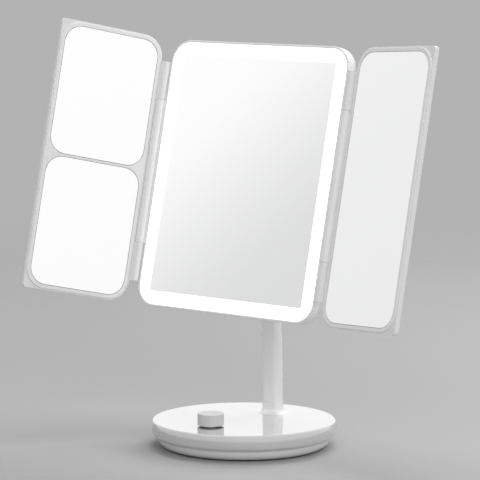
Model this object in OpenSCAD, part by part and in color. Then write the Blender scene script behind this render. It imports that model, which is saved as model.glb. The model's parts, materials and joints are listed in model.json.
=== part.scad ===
// Trifold vanity mirror: a lit centre mirror with two folding wing mirrors,
// on a curved stem that stands on a round weighted base with a dimmer knob.
// Millimetres. +Z is up, the mirrors face -Y, and +X is on the right of someone who looks in them.
// The origin is the centre of the base's underside.

/* [Panels] */
// Height of all three panels
panel_h = 270; // [250:1:300]
// Width of the centre panel
centre_w = 226; // [200:1:240]
// Depth of the centre panel from its front face to its back
centre_depth = 14; // [13:0.5:18]
// Depth of the centre frame, in front of the rear cover
frame_depth = 8; // [7.6:0.1:9]
// Radius of the panel corners beside the hinges and on the centre panel
corner_r = 22; // [19:1:26]
// Rim of the centre frame outside the lit band
rim_w = 2.5; // [1.2:0.1:2.6]
// Width of the lit band round the centre mirror
band_w = 13; // [12:0.5:18]
// Corner radius of the centre mirror
mirror_corner_r = 2.5; // [1.5:0.5:5]
// Rounding of the centre panel's back edge
centre_edge_r = 3.5; // [2:0.5:3.5]
// Wall of the centre frame and of the rear covers' sides
wall = 2.4; // [2.2:0.1:2.8]

/* [Wings] */
// Depth of a wing panel
wing_depth = 7; // [6.8:0.1:9]
// Radius of the corners at a wing's free edge
free_corner_r = 3.5; // [3:0.5:6]
// Border between a wing's outline and its mirror, at the top, bottom and sides
border = 5; // [4.5:0.1:6]
// Corner radius of the wing mirrors
wing_mirror_r = 17.5; // [15:0.5:17.5]
// Strip between the two mirrors of the left wing
strip_w = 2.5; // [2.5:0.5:6]
// Thickness of the wing mirrors
wing_glass = 2; // [1.8:0.1:2.2]
// Gap between the two wings when both are closed over the centre
closed_gap = 2; // [1:0.5:4]
// Step from a wing's front face down to its rear cover's rim
rim_step = 1; // [0.6:0.1:1.4]
// Rounding of a wing's back edge
wing_edge_r = 2; // [1:0.5:2.5]

/* [Wing hinges] */
// Radius of the hinge barrels
barrel_r = 4.5; // [4:0.1:5]
// Gap between a barrel and the panel edge on the other side of the hinge
barrel_gap = 1; // [0.6:0.1:1.5]
// Distance of the hinge axis in front of the panel faces
hinge_proud = 0.6; // [0.4:0.1:1]
// Height of the seams between the knuckles, from the middle of the panel
seam_z = 73; // [50:1:85]
// Gap between two knuckles
knuckle_gap = 0.4; // [0.3:0.1:0.8]
// Radius of the hinge pins
pin_r = 1.5; // [1.2:0.1:1.7]
// Length of a hinge pin inside the middle knuckle
pin_grip = 28; // [15:1:40]
// Wall of the friction bushes
bush_wall = 1.0; // [0.8:0.1:1.1]

/* [Pose] */
// Lean of the mirrors back from upright
head_tilt = 13; // [0:0.5:40]
// Left wing, folded forward from flat
left_fold = 66; // [0:1:90]
// Right wing, folded forward from flat
right_fold = 14.5; // [0:0.5:90]

/* [Stem] */
// Distance of the stem's foot behind the middle of the base
foot_y = 45; // [40:1:50]
// Width of the stem, side to side
stem_w = 22; // [20:0.5:24]
// Depth of the stem, front to back
stem_d = 14; // [12:0.5:16]
// Wall of the stem tube
stem_wall = 2; // [1.6:0.1:2.4]
// Radius of the curve that the stem follows
stem_curve_r = 1050; // [900:10:1300]
// Angle that the stem turns through along its curve
stem_angle = 12.2; // [10:0.1:13]
// Height of the foot above the base
foot_h = 12; // [9:0.5:18]
// Radius of the foot's flare into the base
flare_r = 5; // [2:0.5:6]

/* [Tilt hinge] */
// Distance from the back of the centre panel to the tilt axis
pivot_reach = 13; // [12.5:0.1:16]
// Radius of the tilt barrel on the stem
tilt_barrel_r = 8.5; // [8:0.1:9]
// Length of the tilt barrel
tilt_barrel_w = 24; // [24:0.5:28]
// Radius of the tilt bolt
tilt_pin_r = 3; // [2.5:0.1:3.5]
// Thickness of the friction washers
washer_t = 0.8; // [0.5:0.1:1.2]
// Thickness of the bracket's ears
ear_t = 4.5; // [3.5:0.5:6]
// Width of the bracket plate
bracket_w = 44; // [42:1:50]
// Height of the bracket plate
bracket_h = 56; // [48:1:64]
// Thickness of the bracket plate
bracket_t = 3; // [2.5:0.1:3.2]

/* [Base] */
// Largest radius of the base
base_r = 92; // [86:0.5:98]
// Height of the base with its pad
base_h = 27.5; // [27:0.5:30]
// Height of the seam between the top shell and the lower shell
seam_h = 11.5; // [10:0.5:12]
// Radius of the curve of the top shell's side
side_curve_r = 24; // [18:1:40]
// Rounding of the base's top edge
top_edge_r = 1.5; // [1:0.1:3]
// Rounding of the top shell's lower edge
low_edge_r = 5; // [3:0.5:6]
// Inset of the lower shell from the top shell
plinth_inset = 6; // [6:0.5:8]
// Wall of the top shell
shell_wall = 2.5; // [2:0.1:3]
// Thickness of the non-slip pad
pad_t = 1.5; // [1:0.1:2]
// Thickness of the ballast plate
ballast_t = 6; // [4:0.5:6]

/* [Knob] */
// Distance of the knob in front of the middle of the base
knob_y = 50.5; // [50:0.5:58]
// Radius of the knob
knob_r = 13; // [11:0.5:15]
// Height of the knob
knob_h = 11.5; // [10.5:0.5:14]
// Gap between the knob and the base
knob_gap = 1.5; // [1.2:0.1:2.5]
// Travel of the knob when it is pressed
press_travel = 0.8; // [0.5:0.1:1]
// Radius of the knob's shaft
shaft_r = 3; // [2.8:0.1:3.1]

/* [Hidden] */
$fn = 64;

// Clearances
run_fit = 0.05;   // radial, pin or shaft in its bore
seat_fit = 0.15;  // each side, a piece in its pocket
over = 1;         // how far a cut runs past the face it opens
merge = 0.5;      // how far two shapes of one piece reach into each other

// Colours
white = [0.93, 0.93, 0.93];
light_grey = [0.80, 0.80, 0.81];
glow = [1.0, 1.0, 0.98];
glass = [0.72, 0.76, 0.80];
steel = [0.62, 0.63, 0.65];
brass = [0.78, 0.64, 0.36];
rubber = [0.22, 0.22, 0.23];
board_green = [0.10, 0.38, 0.24];
black = [0.12, 0.12, 0.13];
foam = [0.55, 0.55, 0.56];

// Wing hinges, in the head's own axes
hinge_x = centre_w / 2 + barrel_r + barrel_gap;
edge_s = barrel_r + barrel_gap / 2;
wing_reach = hinge_x - closed_gap / 2;
barrel_end = panel_h / 2 - corner_r - 1.5;
bush_r = pin_r + run_fit + bush_wall;
plug_l = 3;
web_d = barrel_r - hinge_proud - 0.5;

// Layers of the centre panel, as depths behind the front face
diffuser_d = 0.2;
diffuser_t = 2.6;
seat_d = diffuser_d + diffuser_t;
rim_edge_r = rim_w * 0.4;
ledge_t = 1.5;
ledge_w = 4;
mirror_d = 0.5;
mirror_t = 3;
glass_edge_r = 0.5;
tape_t = 0.5;
plateau_d = mirror_d + mirror_t + tape_t;
tray_t = 1.2;
tray_d = frame_depth - tray_t - 0.2;
cover_floor = 2;
mirror_w = centre_w - 2 * (rim_w + band_w);
mirror_h = panel_h - 2 * (rim_w + band_w);
plateau_inset = 3;
plateau_w = mirror_w - 2 * plateau_inset;
plateau_h = mirror_h - 2 * plateau_inset;
plateau_r = 4;
post_x = plateau_w / 2 - 12;
post_z = plateau_h / 2 - 12;
post_r = 3.4;
screw_r = 1.5;
pilot_r = 1.15;
csk_r = 2.6;
csk_h = 1.1;
post_places = [for (x = [-1, 1], z = [-1, 0, 1]) [x * post_x, z * post_z]];

// LED strip in the middle of the lit band
strip_width = 5;
strip_inset = rim_w + band_w / 2 - strip_width / 2;
strip_t = 0.3;
led_size = 3;
led_t = 0.8;
led_pitch = 16;

// Layers of a wing
wing_mirror_d = 0.4;
wing_tape_t = 0.5;
pocket_d = wing_mirror_d + wing_glass + wing_tape_t;
tray_back = pocket_d + 1.1;
wing_floor = 1.4;
wing_hollow_inset = 3.4;
rib_t = 1.2;
frame_inset = 1;
tray_edge_r = 0.8;
frame_corner_r = corner_r - frame_inset;
wing_mirror_x0 = edge_s + border;
wing_mirror_x1 = wing_reach - border;
wing_mirror_w = wing_mirror_x1 - wing_mirror_x0;
wing_mirror_h = panel_h - 2 * border;
half_mirror_h = (wing_mirror_h - strip_w) / 2;
half_mirror_z = (half_mirror_h + strip_w) / 2;

// Tilt hinge
pivot_back = centre_depth + pivot_reach;
foot_top = base_h + foot_h;
pivot_y = foot_y - stem_curve_r * (1 - cos(stem_angle));
pivot_z = foot_top + stem_curve_r * sin(stem_angle);
ear_x = tilt_barrel_w / 2 + washer_t + 0.1;
ear_r = tilt_barrel_r + 0.5;
bolt_head_r = 5;
bolt_head_h = 3;
cap_wall = 1.2;
cap_t = bolt_head_h + cap_wall + 0.3;
bracket_screw_x = bracket_w / 2 - 5.5;
bracket_screw_z = bracket_h / 2 - 8;
bracket_places = [for (x = [-1, 1], z = [-1, 1]) [x * bracket_screw_x, z * bracket_screw_z]];
wire_r = 1.6;
wire_hole_r = 2.2;

// Stem
tube_end = stem_angle - (tilt_barrel_r + 2) / stem_curve_r * 180 / PI;
spigot_angle = 18 / stem_curve_r * 180 / PI;
foot_spigot_h = 14;
foot_collar = 0.4;
foot_groove = 0.5;
foot_screw_x = 7;
foot_screw_r = 1.8;
clamp_t = 2;
clamp_w = 40;
clamp_d = 24;

// Base
shell_r = base_r - 8;
plinth_r = base_r - plinth_inset;
shell_top_in = base_h - shell_wall;
floor_t = 2.2;
floor_top = pad_t + floor_t;
plinth_curve_r = seam_h - pad_t;
plinth_hollow_r = plinth_r - 8;
boss_ring_r = shell_r - 12;
boss_r = 3.8;
boss_angles = [45, 135, 225, 315];
tongue_h = 2.5;
tongue_t = 2;
ballast_r = boss_ring_r - boss_r - 2;
pad_r = boss_ring_r - boss_r - 1;
base_screw_z = pad_t + 1.8;
side_z = (base_h + seam_h) / 2;
battery_w = 60;
battery_l = 40;
battery_t = 6;

// Control board and encoder, hung under the top shell
encoder_h = 6.5;
encoder_w = 12;
board_t = 1.6;
board_top = shell_top_in - encoder_h;
board_w = 50;
board_front = 12;
board_back = 26;
chip_w = 6;
chip_t = 1.4;
chip_inset = 14;
board_y0 = -knob_y - board_front;
board_y1 = -knob_y + board_back;
board_screw_x = board_w / 2 - 4;
board_places = [for (x = [-1, 1], y = [board_y0 + 4, board_y1 - 4]) [x * board_screw_x, y]];
bush_thread_r = shaft_r + 0.7;
bush_top = base_h + 3;
nut_t = 1.8;
encoder_floor = 0.8;
rotor_z = 2.2;
rotor_h = 2;
rotor_r = shaft_r + 1.5;
shaft_bottom = board_top + encoder_floor + press_travel + 0.1;
shaft_top = base_h + knob_gap + knob_h - 3;
hub_bottom = bush_top + press_travel + 0.6;
knob_wall = 1.4;
knob_edge_r = 0.8;

// Charging inlet at the back of the base
usb_w = 9;
usb_h = 3.2;
usb_l = 7.5;
usb_z = 17;
usb_board_t = 1.2;
usb_board_w = 32;
usb_board_l = 13;
usb_face_y = base_r - 2.6;
usb_board_y = usb_face_y - usb_l;
usb_screw_x = usb_board_w / 2 - 4;

// ---------- shapes that repeat ----------

// A plate of an X-Z outline between two depths
module slab(d0, d1) {
    translate([0, d1, 0]) rotate([90, 0, 0]) linear_extrude(d1 - d0) children();
}

// A centred rectangle with round corners
module rounded_rect(w, h, r) {
    square([w - 2 * r, h], center = true);
    square([w, h - 2 * r], center = true);
    for (x = [-1, 1], y = [-1, 1])
        translate([x * (w / 2 - r), y * (h / 2 - r)]) circle(r);
}

// A rectangle from x0 to x1 whose two ends have their own corner radii
module two_end_rect(x0, x1, h, r0, r1) {
    middle = (x0 + x1) / 2;
    translate([x0 + r0, -h / 2]) square([x1 - x0 - r0 - r1, h]);
    translate([x0, -h / 2 + r0]) square([middle - x0, h - 2 * r0]);
    translate([middle, -h / 2 + r1]) square([x1 - middle, h - 2 * r1]);
    for (s = [-1, 1]) {
        translate([x0 + r0, s * (h / 2 - r0)]) circle(r0);
        translate([x1 - r1, s * (h / 2 - r1)]) circle(r1);
    }
}

// Outlines drawn in from the panels' edges by an inset
module centre_outline(inset) {
    rounded_rect(centre_w - 2 * inset, panel_h - 2 * inset, corner_r - inset);
}

module wing_outline(inset) {
    two_end_rect(edge_s + inset, wing_reach - inset, panel_h - 2 * inset,
        corner_r - inset, max(free_corner_r - inset, 0.5));
}

module wing_frame_outline(inset) {
    two_end_rect(edge_s + frame_inset + inset, wing_reach - frame_inset - inset,
        panel_h - 2 * (frame_inset + inset), frame_corner_r - inset, frame_corner_r - inset);
}

module wing_mirror_outline(h, gap) {
    translate([(wing_mirror_x0 + wing_mirror_x1) / 2, 0])
        rounded_rect(wing_mirror_w + 2 * gap, h + 2 * gap, wing_mirror_r + gap);
}

// Section of a plate's edge between two depths, with the corner at d1 rounded.
// X is the inset from the plate's outline and Y is the depth.
module edge_section(d0, d1, r) {
    translate([0, d0]) square([r + merge, d1 - r - d0]);
    translate([r, d1 - r]) square([merge, r]);
    intersection() {
        translate([r, d1 - r]) circle(r);
        translate([0, d1 - r]) square([r, r]);
    }
}

// The same with the corner at d0 rounded, as on a front edge
module front_section(d0, d1, r) {
    translate([0, d0 + d1]) mirror([0, 1]) edge_section(d0, d1, r);
}

// Such a section led round an outline from x0 to x1, in four bars and four corners
module led_round(x0, x1, h, r0, r1) {
    translate([x0, 0, r0 - h / 2]) linear_extrude(h - 2 * r0) children();
    translate([x1, 0, r1 - h / 2]) linear_extrude(h - 2 * r1) mirror([1, 0]) children();
    translate([x0 + r0, 0, h / 2]) rotate([0, 90, 0])
        linear_extrude(x1 - x0 - r0 - r1) children();
    translate([x0 + r0, 0, -h / 2]) rotate([0, 90, 0])
        linear_extrude(x1 - x0 - r0 - r1) mirror([1, 0]) children();
    for (c = [[x1 - r1, -1, r1, 0], [x0 + r0, -1, r0, 90], [x0 + r0, 1, r0, 180], [x1 - r1, 1, r1, 270]])
        translate([c[0], 0, c[1] * (h / 2 - c[2])]) rotate([-90, 0, 0]) rotate(c[3])
            rotate_extrude(angle = 90) translate([c[2], 0]) mirror([1, 0]) children();
}

// A stadium that is w long along Y and d deep along X
module stadium(w, d) {
    square([d, w - d], center = true);
    for (s = [-1, 1]) translate([0, s * (w - d) / 2]) circle(d / 2, $fn = 64);
}

// The stem's section, swept along its curve from one angle to another
module stem_sweep(a0, a1) {
    translate([0, foot_y - stem_curve_r, foot_top]) rotate([90, 0, 90]) rotate([0, 0, a0])
        rotate_extrude(angle = a1 - a0, $fn = 960) translate([stem_curve_r, 0]) children();
}

// A round bar along X, centred on the tilt axis
module tilt_round(r, x0, x1) {
    translate([x0, pivot_back, 0]) rotate([0, 90, 0]) cylinder(r = r, h = x1 - x0);
}

// A round bar along Y between two depths
module depth_round(r, d0, d1) {
    translate([0, d0, 0]) rotate([-90, 0, 0]) cylinder(r = r, h = d1 - d0);
}

// A pan-head screw that points up, with its head's seat at z = 0
module screw_up(r, length) {
    translate([0, 0, -merge]) cylinder(r = r, h = length + merge);
    translate([0, 0, -1.6]) cylinder(r = r * 1.9, h = 1.6);
}

// ---------- places ----------

// From the head's own axes to the object's: front face on XZ, its centre at the origin
module head_place() {
    translate([0, pivot_y, pivot_z]) rotate([-head_tilt, 0, 0])
        translate([0, -pivot_back, 0]) children();
}

// From a wing's own axes to the object's: +X runs from the hinge to the free edge
module wing_place(side, fold) {
    head_place() mirror([side < 0 ? 1 : 0, 0, 0]) translate([hinge_x, -hinge_proud, 0])
        rotate([0, 0, -fold]) translate([0, hinge_proud, 0]) children();
}

module left_place() { wing_place(-1, left_fold) children(); }
module right_place() { wing_place(1, right_fold) children(); }

// ---------- base ----------

// Half section of a revolved slice whose side bulges on a curve, with both edges rounded
module bulged_profile(r, curve_r, curve_z, z0, z1, r0, r1) {
    curve_x = r - curve_r;
    x0 = curve_x + sqrt(pow(curve_r - r0, 2) - pow(curve_z - z0 - r0, 2));
    x1 = curve_x + sqrt(pow(curve_r - r1, 2) - pow(z1 - r1 - curve_z, 2));
    touch_0 = curve_z + (z0 + r0 - curve_z) * curve_r / (curve_r - r0);
    touch_1 = curve_z + (z1 - r1 - curve_z) * curve_r / (curve_r - r1);
    translate([0, z0]) square([x0, z1 - z0]);
    translate([0, z0 + r0]) square([x1, z1 - z0 - r0]);
    translate([x0, z0 + r0]) circle(r0);
    translate([x1, z1 - r1]) circle(r1);
    intersection() {
        translate([curve_x, curve_z]) circle(curve_r, $fn = 256);
        translate([0, touch_0]) square([r + over, touch_1 - touch_0]);
    }
}

module base_top_shell() {
    color(white) difference() {
        union() {
            difference() {
                rotate_extrude($fn = 128)
                    bulged_profile(base_r, side_curve_r, side_z, seam_h, base_h, low_edge_r, top_edge_r);
                translate([0, 0, seam_h - over])
                    cylinder(r = shell_r, h = shell_top_in - seam_h + over, $fn = 128);
            }
            for (a = boss_angles) rotate(a) translate([boss_ring_r, 0, seam_h])
                cylinder(r = boss_r, h = base_h - merge - seam_h);
            for (p = board_places) translate([p[0], p[1], board_top])
                cylinder(r = 3, h = base_h - merge - board_top);
            for (x = [-1, 1]) translate([x * usb_screw_x, usb_board_y - 4, usb_z - usb_h / 2])
                cylinder(r = 2.8, h = base_h - merge - usb_z + usb_h / 2);
        }
        for (a = boss_angles) rotate(a) translate([boss_ring_r, 0, seam_h - over])
            cylinder(r = pilot_r, h = 10 + over);
        for (p = board_places) translate([p[0], p[1], board_top - over])
            cylinder(r = pilot_r, h = 4 + over);
        for (x = [-1, 1]) translate([x * usb_screw_x, usb_board_y - 4, usb_z - usb_h / 2 - over])
            cylinder(r = pilot_r, h = 5 + over);
        translate([0, -knob_y, shell_top_in - over])
            cylinder(r = bush_thread_r + seat_fit, h = shell_wall + 2 * over);
        foot_holes(shell_top_in - over, base_h + over, foot_screw_r + 0.3);
        translate([0, base_r + over, usb_z]) rotate([90, 0, 0]) rotate(90)
            linear_extrude(12) stadium(usb_w + 2 * seat_fit, usb_h + 2 * seat_fit);
    }
}

// Holes under the stem's foot: one for the cable and two for the screws
module foot_holes(z0, z1, r) {
    translate([0, foot_y, z0]) cylinder(r = wire_hole_r, h = z1 - z0);
    for (x = [-1, 1]) translate([x * foot_screw_x, foot_y, z0]) cylinder(r = r, h = z1 - z0);
}

// Half section of the lower shell: a quarter round from the seam down to the underside
module plinth_profile() {
    intersection() {
        translate([plinth_r - plinth_curve_r, seam_h]) circle(plinth_curve_r, $fn = 256);
        translate([0, pad_t]) square([plinth_r + over, seam_h - pad_t]);
    }
    translate([0, pad_t]) square([plinth_r - plinth_curve_r, seam_h - pad_t]);
}

module base_lower_shell() {
    color(white) difference() {
        union() {
            difference() {
                union() {
                    rotate_extrude($fn = 128) plinth_profile();
                    translate([0, 0, seam_h - merge])
                        cylinder(r = shell_r - seat_fit, h = tongue_h + merge, $fn = 128);
                }
                translate([0, 0, seam_h - merge])
                    cylinder(r = shell_r - seat_fit - tongue_t, h = tongue_h + merge + over, $fn = 128);
                translate([0, 0, floor_top])
                    cylinder(r = plinth_hollow_r, h = seam_h - floor_top + over, $fn = 128);
            }
            for (a = boss_angles) rotate(a) translate([boss_ring_r, 0, floor_top - merge])
                cylinder(r = boss_r, h = seam_h - floor_top + merge);
        }
        for (a = boss_angles) rotate(a) translate([boss_ring_r, 0, pad_t - over]) {
            cylinder(r = screw_r + 0.2, h = seam_h - pad_t + 2 * over);
            cylinder(r = screw_r * 1.9 + 0.4, h = base_screw_z - pad_t + over);
        }
    }
}

module non_slip_pad() {
    color(rubber) cylinder(r = pad_r, h = pad_t, $fn = 128);
}

module ballast_plate() {
    color(steel) translate([0, 0, floor_top]) cylinder(r = ballast_r, h = ballast_t, $fn = 128);
}

module base_screws() {
    color(steel) for (a = boss_angles) rotate(a)
        translate([boss_ring_r, 0, base_screw_z]) screw_up(pilot_r - run_fit, seam_h - pad_t + 5);
}

module battery_pack() {
    color(light_grey) translate([0, -2, floor_top + ballast_t]) linear_extrude(battery_t)
        rounded_rect(battery_w, battery_l, 3);
}

module control_board() {
    color(board_green) difference() {
        translate([-board_w / 2, board_y0, board_top - board_t])
            cube([board_w, board_y1 - board_y0, board_t]);
        for (p = board_places) translate([p[0], p[1], board_top - board_t - over])
            cylinder(r = screw_r, h = board_t + 2 * over);
    }
    color(black) for (s = [-1, 1])
        translate([s * board_w / 4 - chip_w / 2, board_y1 - chip_inset, board_top])
            cube([chip_w, chip_w, chip_t]);
}

module board_screws() {
    color(steel) for (p = board_places) translate([p[0], p[1], board_top - board_t])
        screw_up(pilot_r - run_fit, board_t + 3.5);
    color(steel) for (x = [-1, 1])
        translate([x * usb_screw_x, usb_board_y - 4, usb_z - usb_h / 2 - usb_board_t])
            screw_up(pilot_r - run_fit, usb_board_t + 4);
}

module usb_board() {
    color(board_green) difference() {
        translate([-usb_board_w / 2, usb_board_y - usb_board_l + 5, usb_z - usb_h / 2 - usb_board_t])
            cube([usb_board_w, usb_board_l - 5, usb_board_t]);
        for (x = [-1, 1])
            translate([x * usb_screw_x, usb_board_y - 4, usb_z - usb_h / 2 - usb_board_t - over])
                cylinder(r = screw_r, h = usb_board_t + 2 * over);
    }
}

module usb_socket() {
    color(steel) translate([0, usb_face_y, usb_z]) rotate([90, 0, 0]) rotate(90) difference() {
        linear_extrude(usb_l + 2) stadium(usb_w, usb_h);
        translate([0, 0, -over]) linear_extrude(usb_l - 1 + over) stadium(usb_w - 0.6, usb_h - 0.6);
    }
    color(black) translate([-usb_w / 2 + 1.3, usb_face_y - usb_l, usb_z - 0.35])
        cube([usb_w - 2.6, usb_l - 1, 0.7]);
}

// ---------- knob and encoder ----------

module knob_place(z) { translate([0, -knob_y, z]) children(); }

module encoder_body() {
    color(steel) knob_place(board_top) difference() {
        union() {
            translate([-encoder_w / 2, -encoder_w / 2, 0]) cube([encoder_w, encoder_w, encoder_h]);
            cylinder(r = bush_thread_r, h = bush_top - board_top);
        }
        translate([0, 0, encoder_floor])
            cylinder(r = rotor_r + 0.3, h = rotor_z + rotor_h + 0.2 - encoder_floor);
        translate([0, 0, encoder_floor + merge])
            cylinder(r = shaft_r + run_fit, h = bush_top - board_top - encoder_floor);
    }
}

module encoder_nut() {
    color(steel) knob_place(base_h) difference() {
        cylinder(r = bush_thread_r + 2, h = nut_t, $fn = 6);
        translate([0, 0, -over]) cylinder(r = bush_thread_r + run_fit, h = nut_t + 2 * over);
    }
}

// The rotor turns with the shaft, which slides through it when the knob is pressed
module encoder_rotor() {
    color(black) knob_place(board_top + rotor_z) difference() {
        cylinder(r = rotor_r, h = rotor_h);
        translate([0, 0, -over]) cylinder(r = shaft_r + run_fit, h = rotor_h + 2 * over);
    }
}

// The shaft has a flat on its upper end, so that the hub turns with it
module shaft_section(gap) {
    difference() {
        circle(shaft_r + gap);
        translate([-shaft_r - over, shaft_r - 1 + gap])
            square([2 * (shaft_r + over), shaft_r]);
    }
}

module encoder_shaft() {
    color(steel) {
        knob_place(shaft_bottom) cylinder(r = shaft_r, h = hub_bottom - shaft_bottom);
        knob_place(hub_bottom - merge) linear_extrude(shaft_top - hub_bottom + merge)
            shaft_section(0);
    }
}

module knob_hub() {
    color(black) knob_place(hub_bottom) difference() {
        cylinder(r = knob_r - knob_wall - run_fit,
            h = base_h + knob_gap + knob_h - knob_wall - hub_bottom);
        translate([0, 0, -over]) linear_extrude(shaft_top - hub_bottom + over + 0.5)
            shaft_section(run_fit);
    }
}

module knob_cap() {
    color(light_grey) knob_place(base_h + knob_gap) difference() {
        rotate_extrude($fn = 96) {
            square([knob_r - knob_edge_r, knob_h]);
            square([knob_r, knob_h - knob_edge_r]);
            translate([knob_r - knob_edge_r, knob_h - knob_edge_r]) circle(knob_edge_r);
        }
        translate([0, 0, -over])
            cylinder(r = knob_r - knob_wall, h = knob_h - knob_wall + over, $fn = 96);
    }
}

// ---------- stem ----------

module stem_clamp_plate() {
    color(steel) difference() {
        translate([-clamp_w / 2, foot_y - clamp_d / 2, shell_top_in - clamp_t])
            cube([clamp_w, clamp_d, clamp_t]);
        foot_holes(shell_top_in - clamp_t - over, shell_top_in + over, foot_screw_r + 0.3);
    }
}

module stem_screws() {
    color(steel) for (x = [-1, 1])
        translate([x * foot_screw_x, foot_y, shell_top_in - clamp_t])
            screw_up(foot_screw_r - run_fit, clamp_t + shell_wall + foot_h - 3);
}

// Foot: a collar that flares into the base, with a groove under the tube and a spigot in it
module stem_foot() {
    straight = stem_w - stem_d;
    color(white) difference() {
        union() {
            translate([0, foot_y, base_h]) rotate(90) linear_extrude(foot_h - foot_groove)
                stadium(stem_w + 2 * foot_collar, stem_d + 2 * foot_collar);
            translate([0, foot_y, base_h]) rotate(90) linear_extrude(foot_h)
                stadium(stem_w - 2 * foot_collar, stem_d - 2 * foot_collar);
            for (s = [-1, 1]) translate([s * straight / 2, foot_y, base_h])
                rotate_extrude() foot_flare();
            for (s = [0, 1]) translate([0, foot_y, base_h]) rotate(180 * s)
                translate([straight / 2, 0, 0]) rotate([90, 0, -90])
                    linear_extrude(straight) foot_flare();
            translate([0, foot_y, foot_top - merge]) rotate(90)
                linear_extrude(foot_spigot_h + merge)
                    stadium(stem_w - 2 * stem_wall - 1, stem_d - 2 * stem_wall - 1);
        }
        translate([0, foot_y, base_h - over])
            cylinder(r = wire_hole_r, h = foot_h + foot_spigot_h + 2 * over);
        for (x = [-1, 1]) translate([x * foot_screw_x, foot_y, base_h - over])
            cylinder(r = foot_screw_r, h = foot_h - 2 + over);
    }
}

module foot_flare() {
    flare_end = stem_d / 2 + foot_collar + flare_r;
    difference() {
        square([flare_end, flare_r]);
        translate([flare_end, flare_r]) circle(flare_r);
    }
}

module stem_tube() {
    color(white) stem_sweep(0, tube_end) difference() {
        stadium(stem_w, stem_d);
        stadium(stem_w - 2 * stem_wall, stem_d - 2 * stem_wall);
    }
}

module stem_cable() {
    cable_z = board_top + 2;
    color(black) {
        translate([0, board_y1 - 6, cable_z]) rotate([-90, 0, 0])
            cylinder(r = wire_r, h = foot_y - board_y1 + 6);
        translate([0, foot_y, cable_z]) sphere(r = wire_r);
        translate([0, foot_y, cable_z]) cylinder(r = wire_r, h = foot_top - cable_z);
        stem_sweep(0, tube_end - spigot_angle / 2) circle(wire_r, $fn = 48);
    }
}

// Top of the stem: a barrel on the tilt axis, with a neck and a spigot in the tube
module tilt_barrel() {
    color(white) difference() {
        union() {
            stem_sweep(tube_end, stem_angle) stadium(stem_w, stem_d);
            stem_sweep(tube_end - spigot_angle, tube_end + 0.05)
                stadium(stem_w - 2 * stem_wall - 2 * seat_fit, stem_d - 2 * stem_wall - 2 * seat_fit);
            translate([-tilt_barrel_w / 2, pivot_y, pivot_z]) rotate([0, 90, 0])
                cylinder(r = tilt_barrel_r, h = tilt_barrel_w);
        }
        translate([-tilt_barrel_w / 2 - over, pivot_y, pivot_z]) rotate([0, 90, 0])
            cylinder(r = tilt_pin_r + run_fit, h = tilt_barrel_w + 2 * over);
        stem_sweep(tube_end - spigot_angle - 0.1, tube_end) circle(wire_hole_r, $fn = 48);
    }
}

// ---------- head ----------

module tilt_bracket() {
    color(white) head_place() difference() {
        union() {
            slab(centre_depth, centre_depth + bracket_t) rounded_rect(bracket_w, bracket_h, 6);
            for (s = [-1, 1]) {
                x0 = s > 0 ? ear_x : -ear_x - ear_t;
                translate([x0, centre_depth + merge, -ear_r])
                    cube([ear_t, pivot_reach - merge, 2 * ear_r]);
                tilt_round(ear_r, x0, x0 + ear_t);
            }
        }
        tilt_round(tilt_pin_r + run_fit, -ear_x - ear_t - over, ear_x + ear_t + over);
        depth_round(wire_hole_r, centre_depth - over, centre_depth + bracket_t + over);
        for (p = bracket_places) translate([p[0], 0, p[1]])
            depth_round(screw_r, centre_depth - over, centre_depth + bracket_t + over);
    }
}

module bracket_screws() {
    color(steel) head_place() for (p = bracket_places) translate([p[0], 0, p[1]]) {
        depth_round(pilot_r - run_fit, centre_depth - 4.5, centre_depth + bracket_t + merge);
        depth_round(screw_r * 1.8, centre_depth + bracket_t, centre_depth + bracket_t + 1.6);
    }
}

module tilt_bolt() {
    color(steel) head_place() {
        tilt_round(tilt_pin_r, -ear_x - ear_t - merge, ear_x + ear_t + bolt_head_h);
        tilt_round(bolt_head_r, -ear_x - ear_t - bolt_head_h, -ear_x - ear_t);
    }
}

module tilt_nut() {
    color(steel) head_place() difference() {
        translate([ear_x + ear_t, pivot_back, 0]) rotate([0, 90, 0])
            cylinder(r = bolt_head_r + 0.6, h = bolt_head_h, $fn = 6);
        tilt_round(tilt_pin_r + run_fit, ear_x, ear_x + ear_t + bolt_head_h + over);
    }
}

module tilt_washers() {
    color(brass) head_place() for (s = [-1, 1]) {
        x0 = s > 0 ? ear_x - washer_t : -ear_x;
        difference() {
            tilt_round(tilt_barrel_r - 1, x0, x0 + washer_t);
            tilt_round(tilt_pin_r + run_fit, x0 - over, x0 + washer_t + over);
        }
    }
}

module tilt_caps() {
    color(white) head_place() for (s = [-1, 1]) {
        x0 = s > 0 ? ear_x + ear_t : -ear_x - ear_t - cap_t;
        cut0 = s > 0 ? x0 - over : x0 + cap_wall;
        difference() {
            tilt_round(ear_r, x0, x0 + cap_t);
            tilt_round(bolt_head_r + 1, cut0, cut0 + cap_t - cap_wall + over);
        }
    }
}

// A blank of the centre panel's rear cover, rounded at its back edge
module centre_blank() {
    centre_round() edge_section(frame_depth, centre_depth, centre_edge_r);
    slab(frame_depth, centre_depth) centre_outline(centre_edge_r);
}

module centre_rear_cover() {
    color(white) head_place() difference() {
        union() {
            difference() {
                centre_blank();
                slab(frame_depth - over, centre_depth - cover_floor)
                    centre_outline(centre_edge_r);
            }
            for (p = post_places) translate([p[0], 0, p[1]])
                depth_round(post_r, plateau_d + tray_t, centre_depth - cover_floor / 2);
            for (p = bracket_places) translate([p[0], 0, p[1]])
                depth_round(post_r, centre_depth - 5.5, centre_depth - cover_floor / 2);
        }
        for (p = post_places) translate([p[0], 0, p[1]])
            depth_round(pilot_r, plateau_d, plateau_d + tray_t + 5);
        for (p = bracket_places) translate([p[0], 0, p[1]])
            depth_round(pilot_r, centre_depth - 5, centre_depth + over);
        depth_round(wire_hole_r, centre_depth - cover_floor - over, centre_depth + over);
    }
}

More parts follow.
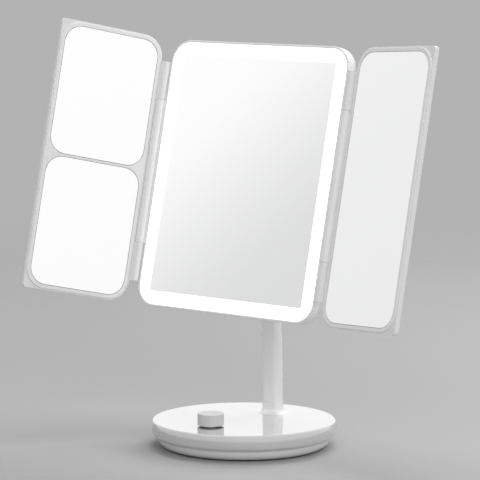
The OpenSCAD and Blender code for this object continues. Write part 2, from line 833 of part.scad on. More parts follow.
// Section of the centre frame: X is the inset from its outline and Y is the depth
module frame_section() {
    for (x = [rim_edge_r, rim_w - rim_edge_r]) translate([x, rim_edge_r]) circle(rim_edge_r);
    translate([rim_edge_r, 0]) square([rim_w - 2 * rim_edge_r, 2 * rim_edge_r]);
    translate([0, rim_edge_r]) square([rim_w, seat_d + ledge_t - rim_edge_r]);
    translate([0, seat_d]) square([rim_w + ledge_w, ledge_t]);
    translate([0, seat_d]) square([wall, frame_depth - seat_d]);
}

// A section led round the centre panel's outline
module centre_round() {
    led_round(-centre_w / 2, centre_w / 2, panel_h, corner_r, corner_r) children();
}

// Frame round the lit band, with the middle knuckle of each hinge
module centre_frame() {
    knuckle_h = 2 * seam_z - knuckle_gap;
    color(white) head_place() difference() {
        union() {
            centre_round() frame_section();
            for (s = [-1, 1]) {
                translate([s * hinge_x, -hinge_proud, -knuckle_h / 2])
                    cylinder(r = barrel_r, h = knuckle_h);
                translate([s > 0 ? centre_w / 2 - merge : -hinge_x, -hinge_proud, -knuckle_h / 2])
                    cube([hinge_x - centre_w / 2 + merge, web_d + hinge_proud, knuckle_h]);
            }
        }
        for (s = [-1, 1], e = [-1, 1])
            translate([s * hinge_x, -hinge_proud, e > 0 ? seam_z - pin_grip : -seam_z - over])
                cylinder(r = pin_r + run_fit, h = pin_grip + over);
    }
}

module led_diffuser() {
    color(glow) head_place() difference() {
        slab(diffuser_d, diffuser_d + diffuser_t) centre_outline(rim_w + seat_fit);
        slab(-over, seat_d + over)
            rounded_rect(mirror_w + 2 * seat_fit, mirror_h + 2 * seat_fit,
                mirror_corner_r + seat_fit);
    }
}

module centre_mirror() {
    color(glass) head_place() {
        led_round(-mirror_w / 2, mirror_w / 2, mirror_h, mirror_corner_r, mirror_corner_r)
            front_section(mirror_d, mirror_d + mirror_t, glass_edge_r);
        slab(mirror_d, mirror_d + mirror_t)
            rounded_rect(mirror_w - 2 * glass_edge_r, mirror_h - 2 * glass_edge_r,
                mirror_corner_r - glass_edge_r);
    }
}

module mirror_tape() {
    color(foam) head_place() slab(mirror_d + mirror_t, plateau_d)
        rounded_rect(plateau_w - 8, plateau_h - 8, plateau_r);
}

// Tray behind the mirror: a raised plateau for the glass, and a floor for the LED strip round it
module reflector_tray() {
    color(white) head_place() difference() {
        union() {
            slab(tray_d, tray_d + tray_t) centre_outline(wall + seat_fit);
            slab(plateau_d, tray_d + merge) rounded_rect(plateau_w, plateau_h, plateau_r);
        }
        slab(plateau_d + tray_t, frame_depth + over)
            rounded_rect(plateau_w - 2 * tray_t, plateau_h - 2 * tray_t, plateau_r - tray_t);
        for (p = post_places) translate([p[0], 0, p[1]]) {
            depth_round(screw_r, plateau_d - over, frame_depth + over);
            translate([0, plateau_d, 0]) rotate([-90, 0, 0])
                cylinder(r1 = csk_r + 0.1, r2 = screw_r, h = csk_h);
        }
    }
}

module tray_screws() {
    color(steel) head_place() for (p = post_places) translate([p[0], plateau_d, p[1]])
        rotate([-90, 0, 0]) {
            cylinder(r1 = csk_r, r2 = pilot_r - run_fit, h = csk_h);
            cylinder(r = pilot_r - run_fit, h = tray_t + 4.5);
        }
}

// LED strip on the tray's floor: a flexible strip round the band with its chips
module led_strip() {
    half_w = centre_w / 2 - strip_inset - strip_width / 2;
    half_h = panel_h / 2 - strip_inset - strip_width / 2;
    across = floor((half_w - corner_r) / led_pitch);
    along = floor((half_h - corner_r) / led_pitch);
    chip_d = tray_d - strip_t - led_t;
    head_place() {
        color("white") difference() {
            slab(tray_d - strip_t, tray_d) centre_outline(strip_inset);
            slab(tray_d - over, tray_d + over) centre_outline(strip_inset + strip_width);
        }
        color("gold") for (s = [-1, 1]) {
            for (i = [-across:across])
                translate([i * led_pitch - led_size / 2, chip_d, s * half_h - led_size / 2])
                    cube([led_size, led_t + strip_t / 2, led_size]);
            for (i = [-along:along])
                translate([s * half_w - led_size / 2, chip_d, i * led_pitch - led_size / 2])
                    cube([led_size, led_t + strip_t / 2, led_size]);
        }
    }
}

// Lead from the bracket's wire hole down to the tray's lower edge
module head_cable() {
    lead_d = centre_depth - cover_floor - wire_r - 0.3;
    color(black) head_place() {
        translate([0, lead_d, -plateau_h / 2 + 8]) cylinder(r = wire_r, h = plateau_h / 2 - 8);
        translate([0, lead_d, 0]) sphere(r = wire_r);
        depth_round(wire_r, lead_d, centre_depth + bracket_t);
    }
}

// ---------- wings and their hinges ----------

// Two pins on one hinge axis, each half in the middle knuckle and half in an end knuckle
module hinge_pins(side) {
    pin_top = barrel_end - plug_l - 0.3;
    color(steel) head_place() for (e = [-1, 1])
        translate([side * hinge_x, -hinge_proud, e > 0 ? seam_z - pin_grip + 0.5 : -pin_top])
            cylinder(r = pin_r, h = pin_top - seam_z + pin_grip - 0.5);
}

module left_hinge_pins() { hinge_pins(-1); }
module right_hinge_pins() { hinge_pins(1); }

module on_hinge_axis(z) { translate([0, -hinge_proud, z]) children(); }

module wing_blank() {
    led_round(edge_s, wing_reach, panel_h, corner_r, free_corner_r)
        edge_section(rim_step, wing_depth, wing_edge_r);
    slab(rim_step, wing_depth) wing_outline(wing_edge_r);
}

// Rear cover of a wing, with ribs behind the mirror tray and both end knuckles
module wing_rear_cover() {
    knuckle_h = barrel_end - seam_z - knuckle_gap / 2;
    color(white) difference() {
        union() {
            difference() {
                wing_blank();
                slab(-over, tray_back) wing_frame_outline(-seat_fit);
                difference() {
                    slab(tray_back - merge, wing_depth - wing_floor)
                        wing_outline(wing_hollow_inset);
                    wing_ribs();
                }
            }
            for (e = [-1, 1]) translate([0, 0, e > 0 ? barrel_end - knuckle_h : -barrel_end]) {
                on_hinge_axis(0) cylinder(r = barrel_r, h = knuckle_h);
                translate([0, -hinge_proud, 0])
                    cube([edge_s + merge, web_d + hinge_proud, knuckle_h]);
            }
        }
        for (e = [-1, 1]) on_hinge_axis(e > 0 ? seam_z - over : -barrel_end - over)
            cylinder(r = bush_r + run_fit, h = barrel_end - seam_z + 2 * over);
    }
}

module wing_ribs() {
    rib_step = panel_h / 6;
    middle = (edge_s + wing_reach) / 2;
    for (i = [-2:2]) translate([0, tray_back, i * rib_step - rib_t / 2])
        cube([wing_reach, wing_depth, rib_t]);
    translate([middle - rib_t / 2, tray_back, -panel_h / 2]) cube([rib_t, wing_depth, panel_h]);
}

// Mirror tray of a wing, with a rounded front edge and a pocket for each mirror
module wing_frame(mirror_zs, h) {
    color(light_grey) difference() {
        union() {
            led_round(edge_s + frame_inset, wing_reach - frame_inset, panel_h - 2 * frame_inset,
                frame_corner_r, frame_corner_r)
                front_section(0, tray_back, tray_edge_r);
            slab(0, tray_back) wing_frame_outline(tray_edge_r);
        }
        for (z = mirror_zs) translate([0, 0, z])
            slab(-over, pocket_d) wing_mirror_outline(h, seat_fit);
    }
}

module wing_mirror(z, h) {
    color(glass) translate([0, 0, z]) {
        led_round(wing_mirror_x0, wing_mirror_x1, h, wing_mirror_r, wing_mirror_r)
            front_section(wing_mirror_d, wing_mirror_d + wing_glass, glass_edge_r);
        slab(wing_mirror_d, wing_mirror_d + wing_glass) wing_mirror_outline(h, -glass_edge_r);
    }
}

module wing_tape(mirror_zs, h) {
    color(foam) for (z = mirror_zs) translate([0, 0, z])
        slab(wing_mirror_d + wing_glass, pocket_d)
            translate([(wing_mirror_x0 + wing_mirror_x1) / 2, 0])
                rounded_rect(wing_mirror_w - 12, h - 12, wing_mirror_r - 6);
}

module hinge_bushes() {
    bush_l = barrel_end - plug_l - 0.3 - seam_z - knuckle_gap;
    color(foam) for (e = [-1, 1]) on_hinge_axis(e > 0 ? seam_z + knuckle_gap : -seam_z - knuckle_gap - bush_l)
        difference() {
            cylinder(r = bush_r, h = bush_l);
            translate([0, 0, -over]) cylinder(r = pin_r + run_fit, h = bush_l + 2 * over);
        }
}

module hinge_plugs() {
    color(white) for (e = [-1, 1]) on_hinge_axis(e > 0 ? barrel_end - plug_l : -barrel_end)
        cylinder(r = bush_r, h = plug_l);
}

module left_rear_cover() { left_place() wing_rear_cover(); }
module left_frame() { left_place() wing_frame([-half_mirror_z, half_mirror_z], half_mirror_h); }
module left_upper_mirror() { left_place() wing_mirror(half_mirror_z, half_mirror_h); }
module left_lower_mirror() { left_place() wing_mirror(-half_mirror_z, half_mirror_h); }
module left_tape() { left_place() wing_tape([-half_mirror_z, half_mirror_z], half_mirror_h); }
module left_hinge_bushes() { left_place() hinge_bushes(); }
module left_hinge_plugs() { left_place() hinge_plugs(); }

module right_rear_cover() { right_place() wing_rear_cover(); }
module right_frame() { right_place() wing_frame([0], wing_mirror_h); }
module right_mirror() { right_place() wing_mirror(0, wing_mirror_h); }
module right_tape() { right_place() wing_tape([0], wing_mirror_h); }
module right_hinge_bushes() { right_place() hinge_bushes(); }
module right_hinge_plugs() { right_place() hinge_plugs(); }

base_top_shell();
base_lower_shell();
non_slip_pad();
ballast_plate();
base_screws();
battery_pack();
control_board();
board_screws();
usb_board();
usb_socket();
encoder_body();
encoder_nut();
stem_clamp_plate();
stem_screws();
stem_foot();
stem_tube();
stem_cable();
tilt_barrel();
encoder_rotor();
encoder_shaft();
knob_hub();
knob_cap();
tilt_bracket();
bracket_screws();
tilt_bolt();
tilt_nut();
tilt_washers();
tilt_caps();
centre_rear_cover();
centre_frame();
led_diffuser();
centre_mirror();
mirror_tape();
reflector_tray();
tray_screws();
led_strip();
head_cable();
left_hinge_pins();
right_hinge_pins();
left_rear_cover();
left_frame();
left_upper_mirror();
left_lower_mirror();
left_tape();
left_hinge_bushes();
left_hinge_plugs();
right_rear_cover();
right_frame();
right_mirror();
right_tape();
right_hinge_bushes();
right_hinge_plugs();
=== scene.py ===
import json
import math

import bmesh
import bpy
from mathutils import Matrix, Vector


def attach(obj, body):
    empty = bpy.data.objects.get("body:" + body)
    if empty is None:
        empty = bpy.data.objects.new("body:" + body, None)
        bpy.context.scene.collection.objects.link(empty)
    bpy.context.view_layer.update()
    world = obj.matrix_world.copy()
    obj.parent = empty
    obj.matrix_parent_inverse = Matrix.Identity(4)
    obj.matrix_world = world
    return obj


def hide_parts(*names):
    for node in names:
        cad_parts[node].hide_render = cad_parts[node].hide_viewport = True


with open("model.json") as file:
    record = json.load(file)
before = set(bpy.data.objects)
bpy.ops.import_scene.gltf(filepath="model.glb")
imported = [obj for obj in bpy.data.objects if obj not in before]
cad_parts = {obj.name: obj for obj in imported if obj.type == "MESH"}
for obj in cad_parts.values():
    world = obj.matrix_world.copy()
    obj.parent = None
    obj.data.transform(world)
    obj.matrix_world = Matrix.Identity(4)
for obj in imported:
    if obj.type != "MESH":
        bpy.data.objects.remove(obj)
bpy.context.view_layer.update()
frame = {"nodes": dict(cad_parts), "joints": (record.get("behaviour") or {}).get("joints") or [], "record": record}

# ---------- sizes in millimetres, the same as the CAD's ----------

MM = 0.001
HEAD_TILT = math.radians(13.0)
CENTRE_DEPTH = 14.0
PIVOT_REACH = 13.0
PIVOT_BACK = CENTRE_DEPTH + PIVOT_REACH
BRACKET_W = 44.0
BRACKET_H = 56.0
BRACKET_T = 3.0
BRACKET_INSET_X = 5.5
BRACKET_INSET_Z = 8.0
BASE_R = 92.0
PAD_T = 1.5
SEAM_H = 11.5
BOSS_INSET = 20.0
BOSS_RING_R = BASE_R - BOSS_INSET
BOSS_ANGLES = (45, 135, 225, 315)
BASE_SCREW_Z = PAD_T + 1.8
BASE_SCREW_L = SEAM_H - PAD_T + 5.0
BASE_HEAD_R = 2.09
BRACKET_SCREW_L = BRACKET_T + 4.5
BRACKET_HEAD_R = 2.7

# ---------- places ----------

joints = {joint["name"]: joint for joint in frame["joints"]}
pivot = Vector(joints["head_tilt"]["pos_m"])


def head_matrix():
    """From the head's own axes, in metres, to the object's: -Y is the way the mirror faces."""
    back = Matrix.Translation((0, -PIVOT_BACK * MM, 0))
    return Matrix.Translation(pivot) @ Matrix.Rotation(-HEAD_TILT, 4, "X") @ back


# ---------- cross-recessed screws, in place of the CAD's plain ones ----------

SCREW_SIDES = 32
SHANK_R = 1.05
TIP_INSET = 0.3
TIP_LENGTH = 0.6
HEAD_H = 1.6
# The head's outline from its seat to its top, in shares of its radius and height
HEAD_OUTLINE = ((1.0, 0.0), (1.0, 0.45), (0.93, 0.75), (0.78, 1.0))
# The cross's reach and half width at its rim and its floor, in shares of the head's radius
RECESS_RIM = (0.62, 0.15)
RECESS_FLOOR = (0.5, 0.11)
RECESS_DEPTH = 0.9
SHARP_ANGLE = math.radians(35.0)


def edge_between(first, second):
    return next(edge for edge in first.link_edges if second in edge.verts)


def ring(bm, place, r, z):
    turns = [2 * math.pi * i / SCREW_SIDES for i in range(SCREW_SIDES)]
    return [bm.verts.new(place @ Vector((r * math.cos(a) * MM, r * math.sin(a) * MM, z * MM)))
            for a in turns]


def cross(bm, place, reach, half, z):
    """The twelve corners of a plus sign at a height."""
    corner = [(reach, -half), (reach, half), (half, half)]
    points = []
    for turn in range(4):
        for x, y in corner:
            for _ in range(turn):
                x, y = -y, x
            points.append((x, y))
    return [bm.verts.new(place @ Vector((x * MM, y * MM, z * MM))) for x, y in points]


def around(loop):
    """The pairs of neighbours round a closed loop."""
    return zip(loop, loop[1:] + loop[:1])


def bridge(bm, first, second):
    for (a, b), (c, d) in zip(around(first), around(second)):
        bm.faces.new((a, b, d, c))


def add_screw(bm, place, head_r, length):
    """A pan-head screw along +Z of its place, with its head's seat at z = 0."""
    skin = [(SHANK_R - TIP_INSET, length), (SHANK_R, length - TIP_LENGTH), (SHANK_R, 0.0)]
    skin += [(head_r * out, -HEAD_H * up) for out, up in HEAD_OUTLINE]
    rings = [ring(bm, place, r, z) for r, z in skin]
    for first, second in zip(rings, rings[1:]):
        bridge(bm, first, second)
    bm.faces.new(rings[0])
    rim = cross(bm, place, *[head_r * share for share in RECESS_RIM], -HEAD_H)
    for a, b in around(rim):
        bm.edges.new((a, b))
    edges = [edge_between(a, b) for loop in (rings[-1], rim) for a, b in around(loop)]
    bmesh.ops.triangle_fill(bm, use_beauty=True, use_dissolve=True, edges=edges)
    floor = cross(bm, place, *[head_r * share for share in RECESS_FLOOR], RECESS_DEPTH - HEAD_H)
    bridge(bm, rim, floor)
    bm.faces.new(floor)


def make_screws(name, places, head_r, length, body, material):
    bm = bmesh.new()
    for place in places:
        add_screw(bm, place, head_r, length)
    bmesh.ops.recalc_face_normals(bm, faces=bm.faces)
    mesh = bpy.data.meshes.new(name)
    bm.to_mesh(mesh)
    bm.free()
    for polygon in mesh.polygons:
        polygon.use_smooth = True
    mesh.set_sharp_from_angle(angle=SHARP_ANGLE)
    piece = bpy.data.objects.new(name, mesh)
    bpy.context.scene.collection.objects.link(piece)
    mesh.materials.append(material)
    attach(piece, body)
    return piece


def base_screw_places():
    for angle in BOSS_ANGLES:
        spin = Matrix.Rotation(math.radians(angle), 4, "Z")
        yield spin @ Matrix.Translation((BOSS_RING_R * MM, 0, BASE_SCREW_Z * MM))


def bracket_screw_places():
    lie = Matrix.Rotation(math.radians(90), 4, "X")
    for x in (-1, 1):
        for z in (-1, 1):
            spot = (x * (BRACKET_W / 2 - BRACKET_INSET_X) * MM, (CENTRE_DEPTH + BRACKET_T) * MM,
                    z * (BRACKET_H / 2 - BRACKET_INSET_Z) * MM)
            yield head_matrix() @ Matrix.Translation(spot) @ lie


# ---------- nodes that the materials share ----------

# Each noise's waves per metre, and its finer layers
CLOUD = (9.0, 1.0)
PEEL = (900.0, 2.0)
GRAIN = (400.0, 4.0)
HAZE = (9.0, 3.0)
UNEVENNESS = (40.0, 3.0)
BUMP_DEPTH = 0.0002
# The cosines between which a surface goes from turned away to square
TURNED_AWAY = 0.9
SQUARE = 0.99


def new_material(name):
    material = bpy.data.materials.new(name)
    material.use_nodes = True
    nodes = material.node_tree.nodes
    shader = next(node for node in nodes if node.type == "BSDF_PRINCIPLED")
    return material, nodes, material.node_tree.links, shader


def noise(nodes, links, kind):
    """Noise in the object's own coordinates."""
    place = nodes.new("ShaderNodeTexCoord")
    texture = nodes.new("ShaderNodeTexNoise")
    texture.inputs["Scale"].default_value, texture.inputs["Detail"].default_value = kind
    links.new(place.outputs["Object"], texture.inputs["Vector"])
    return texture.outputs["Fac"]


def measured(nodes, links, kind, operation, way=None):
    """A number from the object's own coordinates or its normals."""
    place = nodes.new("ShaderNodeTexCoord")
    vector = nodes.new("ShaderNodeVectorMath")
    vector.operation = operation
    if way is not None:
        vector.inputs[1].default_value = way
    links.new(place.outputs[kind], vector.inputs[0])
    return vector.outputs["Value"]


def mapped(nodes, links, source, start, end, low=0.0, high=1.0, kind="LINEAR"):
    """Maps the stretch from start to end to the one from low to high."""
    node = nodes.new("ShaderNodeMapRange")
    node.interpolation_type = kind
    node.inputs["From Min"].default_value = start
    node.inputs["From Max"].default_value = end
    node.inputs["To Min"].default_value = low
    node.inputs["To Max"].default_value = high
    links.new(source, node.inputs["Value"])
    return node.outputs["Result"]


def along(nodes, links, low, high):
    """A smooth 0 to 1 share between two points of the object, in metres."""
    way = Vector(high) - Vector(low)
    dot = measured(nodes, links, "Object", "DOT_PRODUCT", way / way.length_squared)
    start = Vector(low).dot(way) / way.length_squared
    return mapped(nodes, links, dot, start, start + 1.0, kind="SMOOTHSTEP")


def facing(nodes, links, way):
    """1 where a surface lies square to a direction of the object, and 0 where it turns away."""
    size = nodes.new("ShaderNodeMath")
    size.operation = "ABSOLUTE"
    links.new(measured(nodes, links, "Normal", "DOT_PRODUCT", way), size.inputs[0])
    return mapped(nodes, links, size.outputs["Value"], TURNED_AWAY, SQUARE)


def spread(nodes, links, source, low, high):
    """Maps a 0 to 1 value to a range."""
    return mapped(nodes, links, source, 0.0, 1.0, low, high)


def tint(nodes, links, source, first, second):
    """A colour that runs from one to the other with a 0 to 1 value."""
    node = nodes.new("ShaderNodeMix")
    node.data_type = "RGBA"
    node.inputs["A"].default_value = (*first, 1.0)
    node.inputs["B"].default_value = (*second, 1.0)
    links.new(source, node.inputs["Factor"])
    return node.outputs["Result"]


def bump(nodes, links, shader, source, strength):
    node = nodes.new("ShaderNodeBump")
    node.inputs["Strength"].default_value = strength
    node.inputs["Distance"].default_value = BUMP_DEPTH
    links.new(source, node.inputs["Height"])
    links.new(node.outputs["Normal"], shader.inputs["Normal"])


# ---------- materials ----------

# Shares by which noise dims a colour or swings its roughness
CLOUD_SWING = 0.07
GRAIN_DIM = 0.1
GRAIN_SWING = 0.2
GLOW_DIM = 0.03
COAT_ROUGH = 0.03
COAT_IOR = 1.7
GLASS_ROUGH = (0.015, 0.04)
# The mirrors' dark ground edge: partly the glass's own grey edge, and partly painted shade for the shadow line
# round each mirror
GROUND_EDGE_AND_SHADE = (0.03, 0.03, 0.032)
FROST_ROUGH = 0.45


def swing(rough, share):
    return rough * (1.0 - share), rough * (1.0 + share)


def dimmed(colour, share):
    return [c * (1.0 - share) for c in colour]


def plastic(name, colour, rough, peel=0.04, vary=0.012, ior=1.5, coat=0.0, pearl=0.0, painted_top_sheen=0.0):
    """Moulded plastic: faint cloudiness in colour and gloss, and a fine orange peel.

    Pearl is a sheen all over. The top sheen is painted: a metallic share on the level faces only, so a top reads
    brighter than its side."""
    material, nodes, links, shader = new_material(name)
    cloud = noise(nodes, links, CLOUD)
    links.new(tint(nodes, links, cloud, dimmed(colour, vary), colour), shader.inputs["Base Color"])
    gloss = spread(nodes, links, cloud, *swing(rough, CLOUD_SWING))
    links.new(gloss, shader.inputs["Roughness"])
    bump(nodes, links, shader, noise(nodes, links, PEEL), peel)
    shader.inputs["IOR"].default_value = ior
    shader.inputs["Metallic"].default_value = pearl
    # Painted sheen: only the level faces turn metallic, so the top shows a brighter reflection than the side
    if painted_top_sheen:
        level = facing(nodes, links, (0, 0, 1))
        links.new(spread(nodes, links, level, pearl, painted_top_sheen), shader.inputs["Metallic"])
    shader.inputs["Coat Weight"].default_value = coat
    shader.inputs["Coat Roughness"].default_value = COAT_ROUGH
    shader.inputs["Coat IOR"].default_value = COAT_IOR
    return material


def metal(name, colour, rough, brush=0.05):
    """Brushed or plated metal: one grain in its colour, gloss and relief."""
    material, nodes, links, shader = new_material(name)
    grain = noise(nodes, links, GRAIN)
    dark = dimmed(colour, GRAIN_DIM)
    links.new(tint(nodes, links, grain, dark, colour), shader.inputs["Base Color"])
    gloss = spread(nodes, links, grain, *swing(rough, GRAIN_SWING))
    links.new(gloss, shader.inputs["Roughness"])
    bump(nodes, links, shader, grain, brush)
    shader.inputs["Metallic"].default_value = 1.0
    return material


def mirror_glass(name, bright, dim, low, high, node=None):
    """Silvered glass with a painted reflection: its tint runs from bright to dim between two points of the object.

    Where a node is given, its ground edge is dark grey, partly the ground glass and partly a painted shade line
    round the mirror."""
    material, nodes, links, shader = new_material(name)
    # Painted reflection: a gradient of light across the mirror, brighter at one point and dimmer at the other
    share = along(nodes, links, low, high)
    colour = tint(nodes, links, share, bright, dim)
    if node:
        flat = max(frame["nodes"][node].data.polygons, key=lambda face: face.area).normal
        silvered = facing(nodes, links, flat)
        # The dark edge is partly the ground glass and partly painted shade for the shadow line round the mirror;
        # the edge also turns non-metallic
        silver_with_edge_shade = nodes.new("ShaderNodeMix")
        silver_with_edge_shade.data_type = "RGBA"
        silver_with_edge_shade.inputs["A"].default_value = (*GROUND_EDGE_AND_SHADE, 1.0)
        links.new(silvered, silver_with_edge_shade.inputs["Factor"])
        links.new(colour, silver_with_edge_shade.inputs["B"])
        colour = silver_with_edge_shade.outputs["Result"]
        links.new(silvered, shader.inputs["Metallic"])
    links.new(colour, shader.inputs["Base Color"])
    haze = noise(nodes, links, HAZE)
    links.new(spread(nodes, links, haze, *GLASS_ROUGH), shader.inputs["Roughness"])
    shader.inputs["Metallic"].default_value = 1.0
    return material


def glowing(name, colour, strength):
    """Frosted diffuser, lit from behind, with a faint unevenness."""
    material, nodes, links, shader = new_material(name)
    cloud = noise(nodes, links, UNEVENNESS)
    glow = tint(nodes, links, cloud, dimmed(colour, GLOW_DIM), colour)
    links.new(glow, shader.inputs["Base Color"])
    links.new(glow, shader.inputs["Emission Color"])
    shader.inputs["Emission Strength"].default_value = strength
    shader.inputs["Roughness"].default_value = FROST_ROUGH
    return material


# The base's top carries a painted sheen on its level faces, brighter than its side
base_white = plastic("base_white", (0.62, 0.62, 0.62), 0.05, peel=0.006, ior=1.75, coat=1.0,
                     pearl=0.05, painted_top_sheen=0.35)
lower_white = plastic("lower_white", (0.84, 0.84, 0.84), 0.3)
stem_white = plastic("stem_white", (0.95, 0.95, 0.95), 0.3, peel=0.03, pearl=0.3)
knob_white = plastic("knob_white", (0.70, 0.70, 0.70), 0.4, peel=0.06)
panel_white = plastic("panel_white", (0.86, 0.86, 0.86), 0.28)
frame_white = plastic("frame_white", (0.92, 0.92, 0.92), 0.3)
diffuser_glow = glowing("diffuser_glow", (0.98, 0.98, 0.97), 1.1)
pad_rubber = plastic("pad_rubber", (0.03, 0.03, 0.03), 0.8, peel=0.3)
steel = metal("steel", (0.56, 0.56, 0.57), 0.3)
brass = metal("brass", (0.62, 0.45, 0.18), 0.3)
socket_metal = metal("socket_metal", (0.65, 0.65, 0.66), 0.18, brush=0.01)
black_plastic = plastic("black_plastic", (0.02, 0.02, 0.02), 0.45)
nylon = plastic("nylon", (0.62, 0.60, 0.54), 0.5)
foam = plastic("foam", (0.5, 0.5, 0.49), 0.9, peel=0.5)
board = plastic("board", (0.02, 0.14, 0.07), 0.4)
battery = plastic("battery", (0.10, 0.11, 0.14), 0.4)
led_tape = plastic("led_tape", (0.78, 0.76, 0.62), 0.5)
# Painted reflections: each mirror's tint fades from bright to dim across it, and the right mirror's tint is
# painted darker throughout
centre_glass = mirror_glass("centre_glass", (0.895, 0.895, 0.895), (0.655, 0.657, 0.66),
                            (-0.07, 0.0, 0.36), (0.085, 0.0, 0.18))
left_glass = mirror_glass("left_glass", (0.9, 0.9, 0.9), (0.882, 0.882, 0.882),
                          (-0.18, 0.0, 0.4), (-0.12, 0.0, 0.15), "left_upper_mirror")
right_glass = mirror_glass("right_glass", (0.787, 0.788, 0.79), (0.755, 0.756, 0.758),
                           (0.12, 0.0, 0.4), (0.22, 0.0, 0.15), "right_mirror")

SLOT_MATERIALS = {
    "base_white": base_white, "stem_white": stem_white, "knob_white": knob_white,
    "panel_white": panel_white, "frame_white": frame_white, "diffuser": diffuser_glow,
    "mirror_glass": centre_glass, "pad_rubber": pad_rubber, "steel": steel, "brass": brass,
    "nylon": nylon, "battery_wrap": battery, "circuit_board": board,
    "socket_metal": socket_metal, "black_plastic": black_plastic, "foam_tape": foam,
    "led_tape": led_tape,
}
NODE_MATERIALS = {
    "left_upper_mirror": left_glass, "left_lower_mirror": left_glass,
    "right_mirror": right_glass, "base_lower_shell": lower_white,
}
# The bodies that show in no reflection, because the mirrors in the photograph show no wing
UNREFLECTED = ("left_wing", "right_wing")


def dress_cad_nodes():
    """Every CAD node takes its own material or its slot's."""
    slots = {part["node"]: part["material_slot"] for part in frame["record"]["subparts"]}
    bodies = frame["record"]["behaviour"]["bodies"]
    unreflected = [name for body in UNREFLECTED for name in bodies[body]]
    for name, node in frame["nodes"].items():
        material = NODE_MATERIALS.get(name, SLOT_MATERIALS[slots[name]])
        if not node.material_slots:
            node.data.materials.append(material)
        for place in node.material_slots:
            place.material = material
        node.visible_glossy = name not in unreflected


dress_cad_nodes()
under = make_screws("underside_screws", base_screw_places(), BASE_HEAD_R, BASE_SCREW_L, "base",
                    steel)
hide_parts("base_screws")
rear = make_screws("bracket_screw_heads", bracket_screw_places(), BRACKET_HEAD_R,
                   BRACKET_SCREW_L, "head", steel)
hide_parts("bracket_screws")

# ---------- stage ----------

# In metres: the floor is solid as far as the first radius and clear from the second
FLOOR_R = 9.0
FLOOR_SOLID_R = 0.45
FLOOR_CLEAR_R = 2.2
FLOOR_SEGMENTS = 96
FLOOR_COLOUR = (0.46, 0.46, 0.46, 1.0)
FLOOR_ROUGH = 0.9
# The world's strength as light on the object, in gloss and glass, and to the camera
AMBIENT = 0.26
SEEN_IN_GLOSS = 1.1
BACKGROUND = 0.45


def mix_in(nodes, links, share, first, second):
    node = nodes.new("ShaderNodeMixShader")
    links.new(share, node.inputs["Fac"])
    links.new(first, node.inputs[1])
    links.new(second, node.inputs[2])
    return node.outputs["Shader"]


def make_floor():
    """A pale disk that fades out into the background."""
    bm = bmesh.new()
    bmesh.ops.create_circle(bm, cap_ends=True, segments=FLOOR_SEGMENTS, radius=FLOOR_R)
    floor = bpy.data.objects.new("floor", bpy.data.meshes.new("floor"))
    bm.to_mesh(floor.data)
    bm.free()
    bpy.context.scene.collection.objects.link(floor)
    material, nodes, links, shader = new_material("floor")
    shader.inputs["Base Color"].default_value = FLOOR_COLOUR
    shader.inputs["Roughness"].default_value = FLOOR_ROUGH
    radius = measured(nodes, links, "Object", "LENGTH")
    fade = mapped(nodes, links, radius, FLOOR_SOLID_R, FLOOR_CLEAR_R, kind="SMOOTHSTEP")
    clear = nodes.new("ShaderNodeBsdfTransparent").outputs["BSDF"]
    output = next(node for node in nodes if node.type == "OUTPUT_MATERIAL")
    mixed = mix_in(nodes, links, fade, shader.outputs["BSDF"], clear)
    links.new(mixed, output.inputs["Surface"])
    floor.data.materials.append(material)


def backdrop(nodes, strength):
    node = nodes.new("ShaderNodeBackground")
    node.inputs["Color"].default_value = (1, 1, 1, 1)
    node.inputs["Strength"].default_value = strength
    return node.outputs["Background"]


def make_world():
    """Plain surroundings: a grey to the camera, white in gloss and glass, and dim as light."""
    world = bpy.data.worlds.new("studio")
    bpy.context.scene.world = world
    world.use_nodes = True
    nodes, links = world.node_tree.nodes, world.node_tree.links
    nodes.clear()
    output = nodes.new("ShaderNodeOutputWorld")
    path = nodes.new("ShaderNodeLightPath")
    gloss = nodes.new("ShaderNodeMath")
    gloss.operation = "MAXIMUM"
    links.new(path.outputs["Is Glossy Ray"], gloss.inputs[0])
    links.new(path.outputs["Is Transmission Ray"], gloss.inputs[1])
    light = backdrop(nodes, AMBIENT)
    seen = backdrop(nodes, SEEN_IN_GLOSS)
    behind = backdrop(nodes, BACKGROUND)
    around_object = mix_in(nodes, links, gloss.outputs["Value"], light, seen)
    shown = mix_in(nodes, links, path.outputs["Is Camera Ray"], around_object, behind)
    links.new(shown, output.inputs["Surface"])


# ---------- lights ----------

# In metres
LAMP_DISTANCE = 2.4
LAMP_SIZE = 1.6
LAMP_AIM_HEIGHT = 0.15
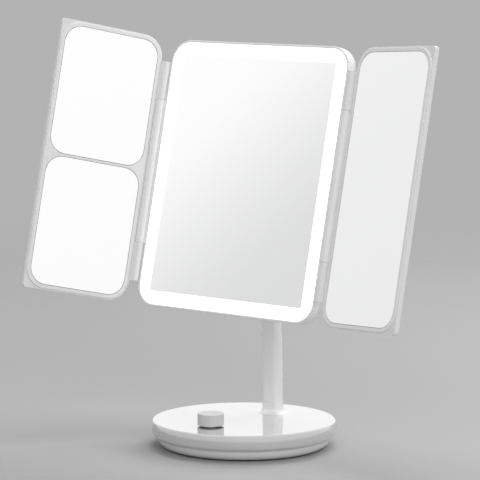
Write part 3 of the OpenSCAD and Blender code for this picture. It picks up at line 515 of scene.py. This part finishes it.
# Each lamp's way from the object, and its share
LAMPS = {
    "front": ((0.64, -0.74, 0.45), 0.32),
    "overhead": ((0.0, 0.1, 1.0), 0.45),
    "behind": ((0.0, 0.8, 0.6), 0.42),
    "right": ((0.9, 0.3, 0.3), 0.16),
}


def add_lamp(name, way, share):
    """A soft disk that faces the object and gives a white surface square to it this share."""
    lamp = bpy.data.lights.new(name, "AREA")
    lamp.shape = "DISK"
    lamp.size = LAMP_SIZE
    lamp.energy = share * (math.pi * LAMP_DISTANCE) ** 2
    holder = bpy.data.objects.new(name, lamp)
    bpy.context.scene.collection.objects.link(holder)
    way = Vector(way).normalized()
    holder.location = Vector((0, 0, LAMP_AIM_HEIGHT)) + way * LAMP_DISTANCE
    holder.rotation_mode = "QUATERNION"
    holder.rotation_quaternion = way.to_track_quat("Z", "Y")
    holder.visible_glossy = False


# ---------- camera, fitted to the photograph ----------

IMAGE_SIDE = 480
FOCAL_PIXELS = 2741.0
# In metres, as are the aim and the clip
CAMERA_DISTANCE = 2.7
CAMERA_AZIMUTH = math.radians(40.19)
CAMERA_ELEVATION = math.radians(6.98)
AIM_HEIGHT = 0.2
AIM_RIGHT = -0.00396
AIM_UP = 0.00618
CLIP_END = 100.0
SENSOR_MM = 36.0


def make_camera():
    a, e = CAMERA_AZIMUTH, CAMERA_ELEVATION
    back = Vector((math.sin(a) * math.cos(e), -math.cos(a) * math.cos(e), math.sin(e)))
    right = Vector((math.cos(a), math.sin(a), 0))
    up = back.cross(right)
    aim = Vector((0, 0, AIM_HEIGHT)) + AIM_RIGHT * right + AIM_UP * up
    data = bpy.data.cameras.new("camera")
    data.sensor_width = SENSOR_MM
    data.lens = FOCAL_PIXELS / IMAGE_SIDE * SENSOR_MM
    data.clip_end = CLIP_END
    camera = bpy.data.objects.new("camera", data)
    bpy.context.scene.collection.objects.link(camera)
    camera.location = aim + back * CAMERA_DISTANCE
    camera.rotation_mode = "QUATERNION"
    camera.rotation_quaternion = back.to_track_quat("Z", "Y")
    bpy.context.scene.camera = camera


make_floor()
make_world()
for lamp_name, (lamp_way, lamp_share) in LAMPS.items():
    add_lamp(lamp_name, lamp_way, lamp_share)
make_camera()
bpy.context.scene.view_settings.view_transform = "Standard"
